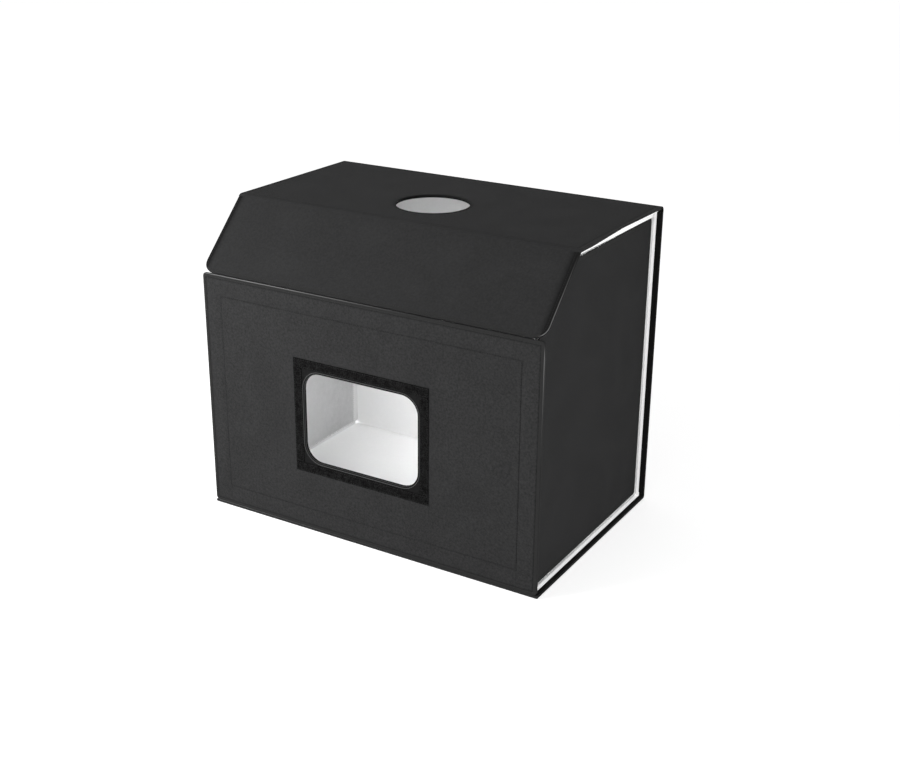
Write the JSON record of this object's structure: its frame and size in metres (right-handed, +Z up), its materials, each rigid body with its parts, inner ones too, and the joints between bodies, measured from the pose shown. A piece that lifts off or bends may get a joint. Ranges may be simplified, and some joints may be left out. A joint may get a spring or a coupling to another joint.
{
  "type": "light tent",
  "caption": "Folding photo light tent: cloth-covered boards on sewn folds, a bound window in the front, a round camera port in the top and a light in the slanted flap.",
  "frame": {"origin": "bottom centre of the standing box", "axes": "+X to the right across the front, front towards -Y, +Z up"},
  "size_m": [0.625, 0.41, 0.525],
  "materials": {
    "black_cloth": "woven, matte",
    "black_binding": "grosgrain, stitched",
    "board": "fibre board",
    "white_lining": "white, matte",
    "silver_lining": "silver grey, pebbled",
    "loop_tape": "looped pile",
    "aluminium": "satin anodised",
    "circuit_board": "white solder mask",
    "diffuser": "opal",
    "black_plastic": "moulded",
    "screw_steel": "plated"
  },
  "bodies": {
    "base": {"base_board": "board", "base_cover": "black_cloth", "base_left_binding": "black_binding", "base_lining": "white_lining", "base_right_binding": "black_binding"},
    "front": {"front_binding": "black_binding", "front_board": "board", "front_cover": "black_cloth", "front_fold": "black_cloth", "front_hook_tape_left": "loop_tape", "front_hook_tape_right": "loop_tape", "front_lining": "white_lining", "window_binding": "black_binding", "window_tape_bottom": "loop_tape", "window_tape_left": "loop_tape", "window_tape_right": "loop_tape", "window_tape_top": "loop_tape"},
    "back": {"back_board": "board", "back_cover": "black_cloth", "back_fold": "black_cloth", "back_left_binding": "black_binding", "back_lining": "white_lining", "back_right_binding": "black_binding", "backdrop_loop_tape": "loop_tape", "left_hinge_tape": "white_lining", "right_hinge_tape": "white_lining"},
    "top": {"left_skirt": "white_lining", "port_binding": "black_binding", "right_skirt": "white_lining", "top_board": "board", "top_cover": "black_cloth", "top_fold": "black_cloth", "top_left_binding": "black_binding", "top_lining": "white_lining", "top_right_binding": "black_binding"},
    "flap": {"flap_binding": "black_binding", "flap_board": "board", "flap_cover": "black_cloth", "flap_fold": "black_cloth", "flap_lining": "white_lining", "light_board": "circuit_board", "light_diffuser": "diffuser", "light_end_cap_left": "black_plastic", "light_end_cap_right": "black_plastic", "light_hook_tape": "loop_tape", "light_housing": "aluminium", "light_inlet": "black_plastic", "light_screw_left": "screw_steel", "light_screw_right": "screw_steel"},
    "left_side": {"left_side_binding": "black_binding", "left_side_board": "board", "left_side_cover": "black_cloth", "left_side_lining": "silver_lining", "left_side_loop_tape": "loop_tape"},
    "right_side": {"right_side_binding": "black_binding", "right_side_board": "board", "right_side_cover": "black_cloth", "right_side_lining": "silver_lining", "right_side_loop_tape": "loop_tape"}
  },
  "joints": [
    {"name": "front_hinge", "type": "hinge", "parent": "base", "child": "front", "pos_m": [0, -0.20273, 0.00107], "axis": [1, 0, 0], "range_deg": [0, 90]},
    {"name": "back_hinge", "type": "hinge", "parent": "base", "child": "back", "pos_m": [0, 0.20393, 0.00107], "axis": [-1, 0, 0], "range_deg": [0, 90]},
    {"name": "top_hinge", "type": "hinge", "parent": "back", "child": "top", "pos_m": [0, 0.20307, 0.52307], "axis": [-1, 0, 0], "range_deg": [0, 90]},
    {"name": "flap_hinge", "type": "hinge", "parent": "top", "child": "flap", "pos_m": [0, -0.09978, 0.52448], "axis": [-1, 0, 0], "range_deg": [0, 45]},
    {"name": "left_side_hinge", "type": "hinge", "parent": "back", "child": "left_side", "pos_m": [-0.295, 0.1897, 0.26], "axis": [0, 0, -1], "range_deg": [-90, 90]},
    {"name": "right_side_hinge", "type": "hinge", "parent": "back", "child": "right_side", "pos_m": [0.295, 0.1955, 0.26], "axis": [0, 0, 1], "range_deg": [-90, 90]}
  ]
}
